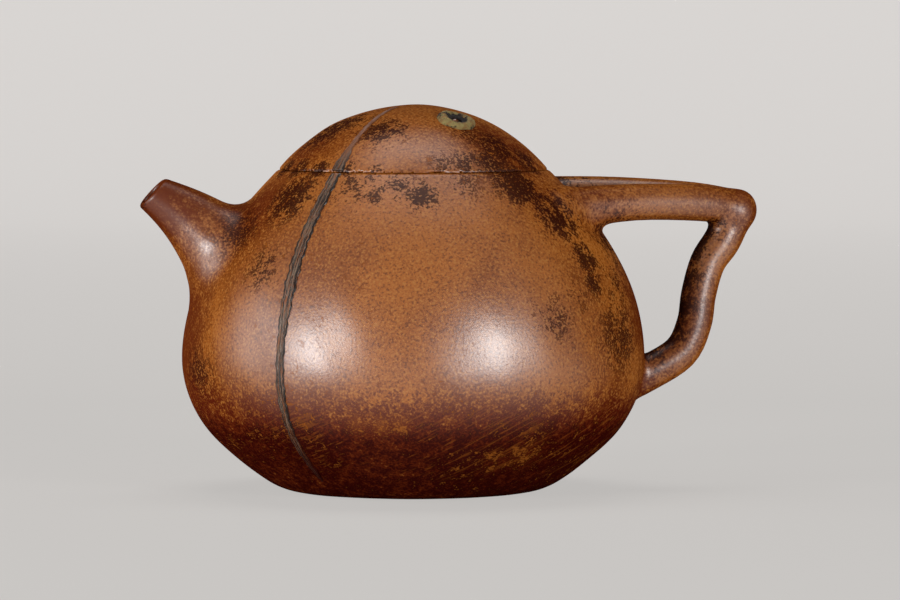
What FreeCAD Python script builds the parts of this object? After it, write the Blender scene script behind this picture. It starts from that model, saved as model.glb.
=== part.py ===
"""Slab-built brown clay teapot of melon form.

The pot is luted together from a saucer-shaped base, a belly of two halves joined at the
widest line, a shoulder disc with a mouth ring, a short trumpet spout over a strainer, and
a forked handle: two upper arms that meet in a nose, and a lower arm from the nose back to
the belly.  The lid carries on the line of the shoulder and drops its flange into the
mouth.  A vein of green clay is laid down one meridian, and the lid has a broken stem
with the vent through it.

Millimetres.  Z is up, the origin is the centre of the foot on the pot's axis,
the spout points to -X and the handle to +X.
"""
import FreeCAD
import Part
import Sketcher
import math
import os

# Driving dimensions: name, value and what it measures
SIZES = [
    ("belly_radius", "55.6", "widest radius of the pot"),
    ("belly_height", "32", "height of the widest place"),
    ("hip_inset", "8.4", "belly radius less the radius at the hip"),
    ("hip_drop", "20", "belly height less the height of the hip, where the base is luted on"),
    ("foot_radius", "31.5", "outer radius of the flat foot"),
    ("chest_inset", "4.5", "belly radius less the radius at the chest"),
    ("chest_rise", "20", "height of the chest above the belly"),
    ("mouth_radius", "32.6", "outer radius of the shoulder at the lid seam"),
    ("seam_height", "77", "height of the lid seam"),
    ("collar_step", "7.6", "collar radius less the mouth radius"),
    ("collar_drop", "8.25", "lid seam less the height of the collar, where the shoulder is luted on"),
    ("foot_bulge", "0.6", "swell of the line from foot to hip"),
    ("low_bulge", "2.19", "swell of the line from hip to belly"),
    ("high_bulge", "1.14", "swell of the line from belly to chest"),
    ("shoulder_bulge", "0.67", "swell of the line from chest to collar"),
    ("collar_bulge", "0.1", "swell of the line from collar to mouth"),
    ("wall", "3", "thickness of the clay, measured level"),
    ("floor_thickness", "3.2", "height of the inner floor"),
    ("dimple_radius", "22", "radius of the hollow under the foot"),
    ("dimple_rise", "1.2", "depth of the hollow under the foot"),
    ("rim", "3", "width of the shoulder's own edge at the mouth"),
    ("seat_width", "4.6", "width of the mouth ring that the lid sits on"),
    ("seat_depth", "3", "height of the mouth ring"),
    ("lid_play", "0.6", "gap all round between flange and mouth ring"),
    ("lid_inset", "0.4", "mouth radius less the lid radius"),
    ("lid_lip", "1", "upright edge of the lid"),
    ("dome_rise", "14.6", "height of the lid above its edge"),
    ("lid_wall", "2.8", "thickness of the lid"),
    ("plate_thickness", "2.4", "thickness of the ring under the lid's dome"),
    ("flange_wall", "2.8", "thickness of the flange"),
    ("flange_depth", "7.5", "depth of the flange below the seam"),
    ("flange_bevel", "0.8", "lead-in at the foot of the flange"),
    ("spout_length", "20", "spout from the belly to its tip"),
    ("spout_lift", "37.8", "rise of the spout in degrees"),
    ("spout_inset", "3", "chest radius less the reach of the spout's root"),
    ("spout_rise", "7.4", "height of the spout's root above the chest"),
    ("spout_tip_radius", "4.3", "outer radius at the tip"),
    ("spout_neck_radius", "5.6", "outer radius where the flare begins"),
    ("spout_neck", "6", "length from the tip to the flare"),
    ("spout_flare", "12.5", "outer radius where the spout meets the belly"),
    ("spout_flare_sag", "1.33", "hollow of the flare"),
    ("spout_bore", "2.9", "radius of the bore at the tip"),
    ("spout_bore_length", "6", "straight length of the bore"),
    ("spout_throat", "8.4", "radius of the throat inside the belly wall"),
    ("strainer_radius", "8", "radius of the strainer let into the belly behind the spout"),
    ("strainer_hole", "1.8", "radius of each hole punched in the strainer"),
    ("strainer_pitch", "5.2", "distance from the middle hole to the ring of holes"),
    ("arm_spread", "25", "half angle between the roots of the upper arms, in degrees"),
    ("arm_radius", "4.6", "radius of an upper arm"),
    ("arm_flare", "6.2", "radius of an upper arm at its root"),
    ("arm_flare_length", "12", "length of the root's flare"),
    ("arm_flare_sag", "0.4", "hollow of the root's flare"),
    ("nose_gap", "24.3", "reach of the nose beyond the belly"),
    ("nose_radius", "4.4", "radius of the nose"),
    ("lower_radius", "4.2", "radius of the lower arm"),
    ("elbow_gap", "14.6", "reach of the lower arm's elbow beyond the belly"),
    ("elbow_drop", "18.1", "height of the elbow below the nose"),
    ("elbow_bend", "30", "radius of the elbow"),
    ("heel_gap", "11.2", "reach of the lower arm's heel beyond the belly"),
    ("heel_rise", "1.5", "height of the heel above the belly's widest place"),
    ("heel_bend", "14", "radius of the heel"),
    ("tail_depth", "3.6", "how far the lower arm's end lies inside the belly radius"),
    ("tail_drop", "7", "height of the lower arm's end below the belly's widest place"),
    ("vein_width", "2.6", "width of the laid-on vein"),
    ("vein_proud", "0.5", "height of the vein above the clay"),
    ("vein_turn", "226.4", "direction of the vein's meridian in degrees from +X"),
    ("vein_foot", "3", "height of the vein's lower end"),
    ("vein_tip", "6", "distance of the vein's upper end from the lid's axis"),
    ("stub_radius", "5", "radius of the broken stem"),
    ("stub_height", "1.4", "height of the broken stem above the lid"),
    ("stub_reach", "17.1", "distance of the stem from the lid's axis"),
    ("stub_turn", "297", "direction of the stem in degrees from +X"),
    ("vent_radius", "1.2", "radius of the vent through stem and lid"),
]

# Sizes that follow from the driving dimensions
DERIVED = [
    ("hip_radius", "belly_radius - hip_inset"),
    ("hip_height", "belly_height - hip_drop"),
    ("chest_radius", "belly_radius - chest_inset"),
    ("chest_height", "belly_height + chest_rise"),
    ("collar_radius", "mouth_radius + collar_step"),
    ("collar_height", "seam_height - collar_drop"),
    ("hip_inner", "hip_radius - wall"),
    ("belly_inner", "belly_radius - wall"),
    ("chest_inner", "chest_radius - wall"),
    ("collar_inner", "collar_radius - wall"),
    ("floor_radius", "foot_radius - wall / 2"),
    ("seat_outer", "mouth_radius - rim"),
    ("seat_inner", "seat_outer - seat_width"),
    ("seat_bottom", "seam_height - seat_depth"),
    ("flange_outer", "seat_inner - lid_play"),
    ("flange_inner", "flange_outer - flange_wall"),
    ("flange_toe", "flange_outer - flange_bevel"),
    ("flange_bottom", "seam_height - flange_depth"),
    ("flange_bevel_top", "flange_bottom + flange_bevel"),
    ("lid_radius", "mouth_radius - lid_inset"),
    ("lip_top", "seam_height + lid_lip"),
    ("lid_top", "lip_top + dome_rise"),
    ("lid_under", "lid_top - lid_wall"),
    ("dome_bend", "(lid_radius ^ 2 + dome_rise ^ 2) / (2 * dome_rise)"),
    ("dome_inner_bend", "dome_bend - lid_wall"),
    ("dome_centre", "lid_top - dome_bend"),
    ("plate_top", "seam_height + plate_thickness"),
    ("dome_foot", "sqrt(dome_bend ^ 2 - (plate_top - dome_centre) ^ 2)"),
    ("dome_inner_foot", "sqrt(dome_inner_bend ^ 2 - (plate_top - dome_centre) ^ 2)"),
    ("foot_bend", "((hip_radius - foot_radius) ^ 2 + hip_height ^ 2 + 4 * foot_bulge ^ 2) / (8 * foot_bulge)"),
    ("low_bend", "(hip_inset ^ 2 + hip_drop ^ 2 + 4 * low_bulge ^ 2) / (8 * low_bulge)"),
    ("high_bend", "(chest_inset ^ 2 + chest_rise ^ 2 + 4 * high_bulge ^ 2) / (8 * high_bulge)"),
    ("shoulder_chord", "(chest_radius - collar_radius) ^ 2 + (collar_height - chest_height) ^ 2"),
    ("shoulder_bend", "(shoulder_chord + 4 * shoulder_bulge ^ 2) / (8 * shoulder_bulge)"),
    ("collar_bend", "(collar_step ^ 2 + collar_drop ^ 2 + 4 * collar_bulge ^ 2) / (8 * collar_bulge)"),
    ("floor_chord", "(hip_inner - floor_radius) ^ 2 + (hip_height - floor_thickness) ^ 2"),
    ("floor_bend", "(floor_chord + 4 * foot_bulge ^ 2) / (8 * foot_bulge)"),
    ("dimple_bend", "(dimple_radius ^ 2 + dimple_rise ^ 2) / (2 * dimple_rise)"),
    ("foot_proud", "foot_radius + vein_proud"),
    ("hip_proud", "hip_radius + vein_proud"),
    ("belly_proud", "belly_radius + vein_proud"),
    ("chest_proud", "chest_radius + vein_proud"),
    ("collar_proud", "collar_radius + vein_proud"),
    ("mouth_proud", "mouth_radius + vein_proud"),
    ("dome_proud", "dome_bend + vein_proud"),
    ("spout_sink", "spout_flare - spout_length / 5"),
    ("spout_tip", "spout_sink + spout_length"),
    ("spout_neck_at", "spout_tip - spout_neck"),
    ("spout_root_at", "spout_sink - 2"),
    ("spout_bore_at", "spout_tip - spout_bore_length"),
    ("spout_chord", "(spout_flare - spout_neck_radius) ^ 2 + (spout_neck_at - spout_root_at) ^ 2"),
    ("spout_bend", "(spout_chord + 4 * spout_flare_sag ^ 2) / (8 * spout_flare_sag)"),
    ("arm_sink", "2.3 * arm_flare"),
    ("arm_flare_at", "arm_sink + arm_flare_length"),
    ("arm_chord", "(arm_flare - arm_radius) ^ 2 + arm_flare_length ^ 2"),
    ("arm_bend", "(arm_chord + 4 * arm_flare_sag ^ 2) / (8 * arm_flare_sag)"),
    ("nose_reach", "belly_radius + nose_gap"),
    ("arm_run", "nose_reach - collar_radius * cos(arm_spread * 1 deg)"),
    ("arm_offset", "collar_radius * sin(arm_spread * 1 deg)"),
    ("arm_length", "sqrt(arm_run ^ 2 + arm_offset ^ 2)"),
    ("nose_at", "arm_sink + arm_length"),
    ("nose_end", "nose_at + nose_radius"),
]

UP = FreeCAD.Vector(0, 0, 1)
FULL_TURN = 2 * math.pi


def size(name):
    """Value of a named size in the sheet."""
    return float(sheet.get(name))


def fill_sheet():
    """Write the driving dimensions and then the formulas that follow from them."""
    for row, (name, value, meaning) in enumerate(SIZES, start=1):
        sheet.set(f"A{row}", name)
        sheet.set(f"B{row}", value)
        sheet.setAlias(f"B{row}", name)
        sheet.set(f"C{row}", meaning)
    for row, (name, formula) in enumerate(DERIVED, start=len(SIZES) + 1):
        sheet.set(f"A{row}", name)
        sheet.set(f"B{row}", "=" + formula)
        sheet.setAlias(f"B{row}", name)
    doc.recompute()


def bind(thing, prop, formula):
    """Tie a property to the sheet."""
    thing.setExpression(prop, formula)


def draw_edge(sketch, start, end, bend):
    """Add the line or arc between two points; returns its number and which end is which.

    The arc has the radius named by bend and turns to the left, or to the right
    where the name begins with a minus sign.  Arcs are stored turning left.
    """
    if not bend:
        number = sketch.addGeometry(Part.LineSegment(start, end), False)
        return number, 1, 2
    if bend.startswith("-"):
        start, end = end, start
    radius = size(bend.lstrip("-"))
    chord = end - start
    to_centre = math.sqrt(radius ** 2 - chord.Length ** 2 / 4)
    side = FreeCAD.Vector(-chord.y, chord.x, 0).normalize()
    centre = (start + end) * 0.5 + side * to_centre
    first = math.atan2(start.y - centre.y, start.x - centre.x)
    last = math.atan2(end.y - centre.y, end.x - centre.x)
    if last < first:
        last += FULL_TURN
    circle = Part.Circle(centre, UP, radius)
    number = sketch.addGeometry(Part.ArcOfCircle(circle, first, last), False)
    row = sketch.addConstraint(Sketcher.Constraint("Radius", number, radius))
    bind(sketch, f"Constraints[{row}]", "Sizes." + bend.lstrip("-"))
    if bend.startswith("-"):
        return number, 2, 1
    return number, 1, 2


def fix(sketch, kind, edge, end, name):
    """Hold a corner at a named distance from the axis or the ground, or on it."""
    axis_of = {"DistanceX": -2, "DistanceY": -1}
    if not name:
        sketch.addConstraint(Sketcher.Constraint("PointOnObject", edge, end, axis_of[kind]))
        return
    row = sketch.addConstraint(Sketcher.Constraint(kind, -1, 1, edge, end, size(name)))
    bind(sketch, f"Constraints[{row}]", "Sizes." + name)


def outline(body, corners):
    """Closed outline on the body's XZ plane.

    A corner is (radius, height, bend): names in the sheet, empty on the axis or the
    ground, and the bend of the edge that leads to the next corner, empty for a line.
    """
    sketch = body.newObject("Sketcher::SketchObject", body.Name + "_outline")
    plane = [p for p in body.Origin.OriginFeatures if p.Role == "XZ_Plane"][0]
    sketch.AttachmentSupport = [(plane, "")]
    sketch.MapMode = "FlatFace"
    points = [FreeCAD.Vector(size(r) if r else 0, size(z) if z else 0, 0) for r, z, bend in corners]
    edges = []
    for index, (radius, height, bend) in enumerate(corners):
        edges.append(draw_edge(sketch, points[index], points[(index + 1) % len(points)], bend))
    for index, (radius, height, bend) in enumerate(corners):
        number, begin, finish = edges[index]
        before, unused, joined = edges[index - 1]
        sketch.addConstraint(Sketcher.Constraint("Coincident", before, joined, number, begin))
        fix(sketch, "DistanceX", number, begin, radius)
        fix(sketch, "DistanceY", number, begin, height)
    return sketch


def turned(name, corners):
    """A body turned about its own Z axis from an outline."""
    body = doc.addObject("PartDesign::Body", name)
    sketch = outline(body, corners)
    turn = body.newObject("PartDesign::Revolution", name + "_turn")
    turn.Profile = sketch
    turn.ReferenceAxis = (sketch, ["V_Axis"])
    turn.Angle = 360
    body.Tip = turn
    return body


def cut(name, base, tools):
    """A piece less all its tools."""
    for index, tool in enumerate(tools):
        piece = doc.addObject("Part::Cut", name if index == len(tools) - 1 else f"{name}_{index}")
        piece.Base = base
        piece.Tool = tool
        base = piece
    return base


def aim(thing, origin, direction):
    """Stand a turned body at a point with its Z axis along a direction."""
    thing.Placement = FreeCAD.Placement(origin, FreeCAD.Rotation(UP, direction))


def cylinder(name, radius, height, origin, direction):
    """A cylinder of a named radius along a direction."""
    rod = doc.addObject("Part::Cylinder", name)
    bind(rod, "Radius", radius)
    bind(rod, "Height", height)
    aim(rod, origin, direction)
    return rod


def meridian_slab(name, reach, height):
    """An upright slab as wide as the vein, standing on the vein's meridian."""
    slab = doc.addObject("Part::Box", name)
    bind(slab, "Length", reach)
    bind(slab, "Width", "Sizes.vein_width")
    bind(slab, "Height", height)
    return slab


def level(turn, reach, height):
    """Point at a direction in degrees, a distance from the axis and a height."""
    angle = math.radians(turn)
    return FreeCAD.Vector(reach * math.cos(angle), reach * math.sin(angle), height)


def ball(name, radius, centre):
    """A sphere of a named radius."""
    sphere = doc.addObject("Part::Sphere", name)
    bind(sphere, "Radius", radius)
    sphere.Placement.Base = centre
    return sphere


def rounded_way(points, bends):
    """A wire of straight runs through the points, with an arc of a radius at each inner one."""
    edges = []
    start = points[0]
    for before, corner, after, bend in zip(points, points[1:], points[2:], bends):
        back = (before - corner).normalize()
        onward = (after - corner).normalize()
        half = back.getAngle(onward) / 2
        inset = bend / math.tan(half)
        middle = (back + onward).normalize() * (bend / math.sin(half) - bend)
        edges.append(Part.LineSegment(start, corner + back * inset).toShape())
        edges.append(Part.Arc(corner + back * inset, corner + middle, corner + onward * inset).toShape())
        start = corner + onward * inset
    edges.append(Part.LineSegment(start, points[-1]).toShape())
    return Part.Wire(edges)


doc = FreeCAD.newDocument("melon_teapot")
sheet = doc.addObject("Spreadsheet::Sheet", "Sizes")
fill_sheet()
pieces = {}

# The pot's outer line, foot to mouth, as one solid that roots and flares are trimmed to
pot_form = turned("pot_form", [
    ("", "", ""),
    ("foot_radius", "", "foot_bend"),
    ("hip_radius", "hip_height", "low_bend"),
    ("belly_radius", "belly_height", "high_bend"),
    ("chest_radius", "chest_height", "shoulder_bend"),
    ("collar_radius", "collar_height", "collar_bend"),
    ("mouth_radius", "seam_height", ""),
    ("", "seam_height", ""),
])

# Vein on the pot: a band on the outer line, kept only on its meridian
vein_form = turned("vein_form", [
    ("", "", ""),
    ("foot_proud", "", "foot_bend"),
    ("hip_proud", "hip_height", "low_bend"),
    ("belly_proud", "belly_height", "high_bend"),
    ("chest_proud", "chest_height", "shoulder_bend"),
    ("collar_proud", "collar_height", "collar_bend"),
    ("mouth_proud", "seam_height", ""),
    ("", "seam_height", ""),
])
vein_facing = FreeCAD.Rotation(UP, size("vein_turn"))
across = vein_facing.multVec(FreeCAD.Vector(0, -size("vein_width") / 2, 0))
pot_slab = meridian_slab("pot_slab", "Sizes.belly_radius * 1.2", "Sizes.seam_height")
pot_slab.Placement = FreeCAD.Placement(across + UP * size("vein_foot"), vein_facing)
pot_slice = doc.addObject("Part::MultiCommon", "pot_slice")
pot_slice.Shapes = [vein_form, pot_slab]
pieces["body_vein"] = cut("body_vein", pot_slice, [pot_form])

# Base: a saucer with a flat foot ring round a shallow hollow
pieces["base_disc"] = turned("base_disc", [
    ("", "dimple_rise", "-dimple_bend"),
    ("dimple_radius", "", ""),
    ("foot_radius", "", "foot_bend"),
    ("hip_radius", "hip_height", ""),
    ("hip_inner", "hip_height", "-floor_bend"),
    ("floor_radius", "floor_thickness", ""),
    ("", "floor_thickness", ""),
])

# Spout axis: from a root on the belly out and up
lift = math.radians(size("spout_lift"))
spout_way = FreeCAD.Vector(-math.cos(lift), 0, math.sin(lift))
spout_root = FreeCAD.Vector(
    size("spout_inset") - size("chest_radius"), 0, size("chest_height") + size("spout_rise"))
spout_start = spout_root - spout_way * size("spout_sink")

# Belly in two halves, joined at the widest line
pieces["lower_belly"] = turned("lower_belly", [
    ("hip_radius", "hip_height", "low_bend"),
    ("belly_radius", "belly_height", ""),
    ("belly_inner", "belly_height", "-low_bend"),
    ("hip_inner", "hip_height", ""),
])
upper_form = turned("upper_form", [
    ("belly_radius", "belly_height", "high_bend"),
    ("chest_radius", "chest_height", "shoulder_bend"),
    ("collar_radius", "collar_height", ""),
    ("collar_inner", "collar_height", "-shoulder_bend"),
    ("chest_inner", "chest_height", "-high_bend"),
    ("belly_inner", "belly_height", ""),
])
strainer_rod = cylinder("strainer_rod", "Sizes.strainer_radius", "Sizes.spout_tip", spout_start, spout_way)
pieces["upper_belly"] = cut("upper_belly", upper_form, [strainer_rod])

# Strainer: a round of the same wall, punched with a middle hole and a ring of holes
HOLES_ROUND = 6
strainer_round = doc.addObject("Part::MultiCommon", "strainer_round")
strainer_round.Shapes = [upper_form, strainer_rod]
sideways = FreeCAD.Vector(0, 1, 0)
holes = [cylinder("hole_0", "Sizes.strainer_hole", "Sizes.spout_tip", spout_start, spout_way)]
for number in range(HOLES_ROUND):
    swing = FreeCAD.Rotation(spout_way, 360 * number / HOLES_ROUND)
    place = spout_start + swing.multVec(sideways) * size("strainer_pitch")
    holes.append(cylinder(f"hole_{number + 1}", "Sizes.strainer_hole", "Sizes.spout_tip", place, spout_way))
pieces["strainer"] = cut("strainer", strainer_round, holes)

# Shoulder disc and the mouth ring let into it
pieces["shoulder_disc"] = turned("shoulder_disc", [
    ("collar_inner", "collar_height", ""),
    ("collar_radius", "collar_height", "collar_bend"),
    ("mouth_radius", "seam_height", ""),
    ("seat_outer", "seam_height", ""),
    ("seat_outer", "seat_bottom", ""),
])
pieces["mouth_ring"] = turned("mouth_ring", [
    ("seat_inner", "seat_bottom", ""),
    ("seat_outer", "seat_bottom", ""),
    ("seat_outer", "seam_height", ""),
    ("seat_inner", "seam_height", ""),
])

# Spout: a trumpet on its own axis, trimmed to the belly
spout_form = turned("spout_form", [
    ("spout_throat", "", ""),
    ("spout_flare", "", ""),
    ("spout_flare", "spout_root_at", "-spout_bend"),
    ("spout_neck_radius", "spout_neck_at", ""),
    ("spout_tip_radius", "spout_tip", ""),
    ("spout_bore", "spout_tip", ""),
    ("spout_bore", "spout_bore_at", ""),
])
aim(spout_form, spout_start, spout_way)
pieces["spout"] = cut("spout", spout_form, [pot_form])

# Upper arms: round bars with flared roots, halved on the plane where they meet
arm_form = turned("arm_form", [
    ("", "", ""),
    ("arm_flare", "", ""),
    ("arm_flare", "arm_sink", "-arm_bend"),
    ("arm_radius", "arm_flare_at", ""),
    ("nose_radius", "nose_at", "nose_radius"),
    ("", "nose_end", ""),
])
nose = FreeCAD.Vector(size("nose_reach"), 0, size("collar_height"))
arm_root = level(-size("arm_spread"), size("collar_radius"), size("collar_height"))
arm_way = (nose - arm_root).normalize()
aim(arm_form, arm_root - arm_way * size("arm_sink"), arm_way)
front_side = doc.addObject("Part::Box", "front_side")
bind(front_side, "Length", "Sizes.nose_reach * 1.2")
bind(front_side, "Width", "Sizes.belly_radius")
bind(front_side, "Height", "Sizes.lid_top")
front_side.Placement.Base = FreeCAD.Vector(0, -size("belly_radius"), 0)
arm_half = doc.addObject("Part::MultiCommon", "arm_half")
arm_half.Shapes = [arm_form, front_side]
front_arm = cut("handle_front_arm", arm_half, [pot_form])
pieces["handle_front_arm"] = front_arm
rear_arm = doc.addObject("Part::Mirroring", "handle_rear_arm")
rear_arm.Source = front_arm
rear_arm.Normal = FreeCAD.Vector(0, 1, 0)
pieces["handle_rear_arm"] = rear_arm

# Lower arm: a round bar from the nose down over an elbow and a heel to the belly
belly = size("belly_radius")
widest = size("belly_height")
elbow = FreeCAD.Vector(belly + size("elbow_gap"), 0, nose.z - size("elbow_drop"))
heel = FreeCAD.Vector(belly + size("heel_gap"), 0, widest + size("heel_rise"))
tail = FreeCAD.Vector(belly - size("tail_depth"), 0, widest - size("tail_drop"))
lower_way = doc.addObject("Part::Feature", "lower_way")
lower_way.Shape = rounded_way([nose, elbow, heel, tail], [size("elbow_bend"), size("heel_bend")])
lower_ring = doc.addObject("Part::Circle", "lower_ring")
bind(lower_ring, "Radius", "Sizes.lower_radius")
aim(lower_ring, nose, (elbow - nose).normalize())
lower_bar = doc.addObject("Part::Sweep", "lower_bar")
lower_bar.Sections = [lower_ring]
lower_bar.Spine = (lower_way, [f"Edge{n + 1}" for n in range(len(lower_way.Shape.Edges))])
lower_bar.Solid = True
lower_knob = doc.addObject("Part::Sphere", "lower_knob")
bind(lower_knob, "Radius", "Sizes.lower_radius")
lower_knob.Placement.Base = nose
lower_form = doc.addObject("Part::MultiFuse", "lower_form")
lower_form.Shapes = [lower_bar, lower_knob]
pieces["handle_lower_arm"] = cut("handle_lower_arm", lower_form, [front_arm, rear_arm, pot_form])

# Vein on the lid: a strip of a slightly larger ball, kept only on its meridian
dome_middle = UP * size("dome_centre")
dome_ball = ball("dome_ball", "Sizes.dome_bend", dome_middle)
proud_ball = ball("proud_ball", "Sizes.dome_proud", dome_middle)
lid_slab = meridian_slab("lid_slab", "Sizes.lid_radius * 1.2", "Sizes.dome_rise * 1.2")
along = vein_facing.multVec(FreeCAD.Vector(size("vein_tip"), 0, 0))
lid_slab.Placement = FreeCAD.Placement(across + along + UP * size("lip_top"), vein_facing)
lid_slice = doc.addObject("Part::MultiCommon", "lid_slice")
lid_slice.Shapes = [proud_ball, lid_slab]
pieces["lid_vein"] = cut("lid_vein", lid_slice, [dome_ball])

# Broken stem on the lid, square to the dome, with the vent through both
stub_height = math.sqrt(size("dome_bend") ** 2 - size("stub_reach") ** 2)
stub_way = level(size("stub_turn"), size("stub_reach"), stub_height).normalize()
vent_start = dome_middle + stub_way * (size("dome_inner_bend") - size("lid_wall"))
vent = cylinder("vent", "Sizes.vent_radius", "Sizes.stub_height + 4 * Sizes.lid_wall", vent_start, stub_way)
stub_start = dome_middle + stub_way * size("dome_inner_bend")
stub_rod = cylinder("stub_rod", "Sizes.stub_radius", "Sizes.lid_wall + Sizes.stub_height", stub_start, stub_way)
pieces["stem_stub"] = cut("stem_stub", stub_rod, [dome_ball, vent])

# Lid: dome, the ring under it that sits on the mouth, and the flange below that
dome_form = turned("dome_form", [
    ("dome_inner_foot", "plate_top", ""),
    ("dome_foot", "plate_top", "dome_bend"),
    ("", "lid_top", ""),
    ("", "lid_under", "-dome_inner_bend"),
])
pieces["lid_dome"] = cut("lid_dome", dome_form, [vent])
pieces["lid_plate"] = turned("lid_plate", [
    ("flange_inner", "seam_height", ""),
    ("lid_radius", "seam_height", ""),
    ("lid_radius", "lip_top", "dome_bend"),
    ("dome_foot", "plate_top", ""),
    ("flange_inner", "plate_top", ""),
])
pieces["lid_flange"] = turned("lid_flange", [
    ("flange_inner", "flange_bottom", ""),
    ("flange_toe", "flange_bottom", ""),
    ("flange_outer", "flange_bevel_top", ""),
    ("flange_outer", "seam_height", ""),
    ("flange_inner", "seam_height", ""),
])

doc.recompute()
for thing in doc.Objects:
    if "Invalid" in thing.State or "Error" in thing.State:
        raise RuntimeError(f"{thing.Name} failed: {thing.State}")
for label, piece in pieces.items():
    piece.Label = label
    if piece.Shape.isNull() or not piece.Shape.isValid() or len(piece.Shape.Solids) != 1:
        raise RuntimeError(f"{label} is not one valid solid")
os.makedirs("parts", exist_ok=True)
for label, piece in pieces.items():
    piece.Shape.exportStep(f"parts/{label}.step")
    print(f"{label}: {piece.Shape.Volume / 1000:.2f} cm3")
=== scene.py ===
"""Looks of a slab-built clay teapot: skins, clays, light and camera around the fixed frame."""
import itertools
import math
from functools import partial

import bpy
import numpy as np
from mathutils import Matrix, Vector


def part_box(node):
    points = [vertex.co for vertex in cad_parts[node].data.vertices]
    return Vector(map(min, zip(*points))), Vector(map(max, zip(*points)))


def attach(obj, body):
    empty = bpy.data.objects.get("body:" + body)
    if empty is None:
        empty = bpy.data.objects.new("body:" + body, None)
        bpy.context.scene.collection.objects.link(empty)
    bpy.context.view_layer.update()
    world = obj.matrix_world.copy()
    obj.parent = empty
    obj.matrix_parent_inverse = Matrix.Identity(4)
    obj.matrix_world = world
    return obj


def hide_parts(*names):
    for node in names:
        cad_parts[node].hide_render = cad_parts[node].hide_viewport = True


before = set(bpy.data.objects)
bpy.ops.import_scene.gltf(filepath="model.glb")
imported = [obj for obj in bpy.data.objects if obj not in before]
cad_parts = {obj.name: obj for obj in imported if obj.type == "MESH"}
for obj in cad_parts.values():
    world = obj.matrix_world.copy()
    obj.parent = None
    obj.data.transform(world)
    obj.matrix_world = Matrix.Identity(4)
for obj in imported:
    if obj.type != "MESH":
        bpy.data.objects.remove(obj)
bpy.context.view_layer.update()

bl_info = {
    "name": "Melon teapot",
    "version": (1, 0, 0),
    "blender": (4, 5, 0),
    "location": "3D View > Sidebar > Teapot",
    "description": "Skins, clays and stage for a slab-built clay teapot",
    "category": "Add Mesh",
}

MM = 1000.0


def node_low(name):
    """Lowest corner of a frame node, in millimetres."""
    return np.array(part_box(name)[0]) * MM


def node_high(name):
    """Highest corner of a frame node, in millimetres."""
    return np.array(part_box(name)[1]) * MM


def node_radius(name):
    """Outer radius of a turned frame node, in millimetres."""
    return (node_high(name)[1] - node_low(name)[1]) / 2


# Sizes taken from the frame, in millimetres
BELLY = node_radius("lower_belly")
BELLY_Z = node_high("lower_belly")[2]
HIP = node_radius("base_disc")
HIP_Z = node_high("base_disc")[2]
COLLAR = node_radius("shoulder_disc")
COLLAR_Z = node_low("shoulder_disc")[2]
SEAM_Z = node_low("lid_plate")[2]
LID = node_radius("lid_plate")
LID_TOP_Z = node_high("lid_dome")[2]
PLATE_Z = node_high("lid_plate")[2]
FLANGE = node_radius("lid_flange")
FLANGE_Z = node_low("lid_flange")[2]
SEAT = node_radius("mouth_ring")
NOSE_X = node_high("handle_front_arm")[0]


def linear(text):
    """sRGB hex to linear RGBA."""
    channels = np.array([int(text[i:i + 2], 16) for i in (1, 3, 5)]) / 255
    low = channels / 12.92
    high = ((channels + 0.055) / 1.055) ** 2.4
    return (*np.where(channels <= 0.04045, low, high).tolist(), 1.0)


length = partial(bpy.props.FloatProperty, unit="LENGTH", precision=5)
colour = partial(bpy.props.FloatVectorProperty, subtype="COLOR", size=4, min=0.0, max=1.0)


class PotSizes(bpy.types.PropertyGroup):
    """Sizes of the skins that the frame does not give."""

    cell: length(name="Cell", description="Grid step of the body's skin", default=0.00095)
    fine_cell: length(name="Fine cell", description="Grid step of handle and lid skins", default=0.0006)
    rim_cell: length(name="Rim cell", description="Grid step of the spout's skin", default=0.0004)
    lute: length(name="Lute", description="Fillet where the spout is luted on", default=0.006)
    root: length(name="Root", description="Fillet where the upper arms are luted on", default=0.004)
    butt: length(name="Butt", description="Fillet where the lower arm meets the belly", default=0.0025)
    knit: length(name="Knit", description="Fillet where the arms meet", default=0.0024)
    beat: length(name="Beat", description="Unevenness left by beating", default=0.0001)


class ClayColours(bpy.types.PropertyGroup):
    """Colours of the clays."""

    tan: colour(name="Tan", description="Rubbed clay", default=linear("#a65f22"))
    umber: colour(name="Umber", description="Duller clay in clouds", default=linear("#8a4918"))
    speck: colour(name="Speck", description="Dark grit in the clay", default=linear("#441c0b"))
    buff: colour(name="Buff", description="Pale grit in the clay", default=linear("#b37536"))
    # Also paints shade on the pot's left and right sides
    patina_and_shade: colour(name="Patina", description="Brown of much handled places", default=linear("#5c1f07"))
    # Also paints shade along the inner side of the handle's lower arm
    chestnut_and_shade: colour(name="Chestnut", description="Tea stain", default=linear("#2f0f07"))
    # Partly painted shade: the lower belly darker towards the floor
    russet_and_shade: colour(name="Russet", description="Stain on the lower belly", default=linear("#5b1b09"))
    # Partly painted shade by the foot
    soot_and_shade: colour(name="Soot", description="Darkest stain, by the foot", default=linear("#360805"))
    vein: colour(name="Vein", description="Green clay of the vein", default=linear("#786351"))
    # Also painted shade between the vein's strands, along its sides and in the stem's hollow
    dirt_and_shade: colour(name="Dirt", description="Old dirt in grooves", default=linear("#1f120b"))
    stem: colour(name="Stem", description="Broken clay of the stem", default=linear("#94834d"))
    paper: colour(name="Paper", description="Floor by the pot", default=linear("#d3d0cd"))
    far_paper: colour(name="Far paper", description="Backdrop, farther back", default=linear("#f8f4f1"))


class StageSettings(bpy.types.PropertyGroup):
    """Camera and light."""

    distance: length(name="Distance", description="Camera to pot", default=1.4)
    height: length(name="Height", description="Camera above the floor", default=0.118)
    yaw: bpy.props.FloatProperty(name="Yaw", description="Turn of the camera towards the spout",
                                 default=math.radians(10), subtype="ANGLE")
    glow: bpy.props.FloatProperty(name="Glow", description="Share of the paper that shows its own colour",
                                  default=0.75, subtype="FACTOR")


# Lines of the pot

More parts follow.
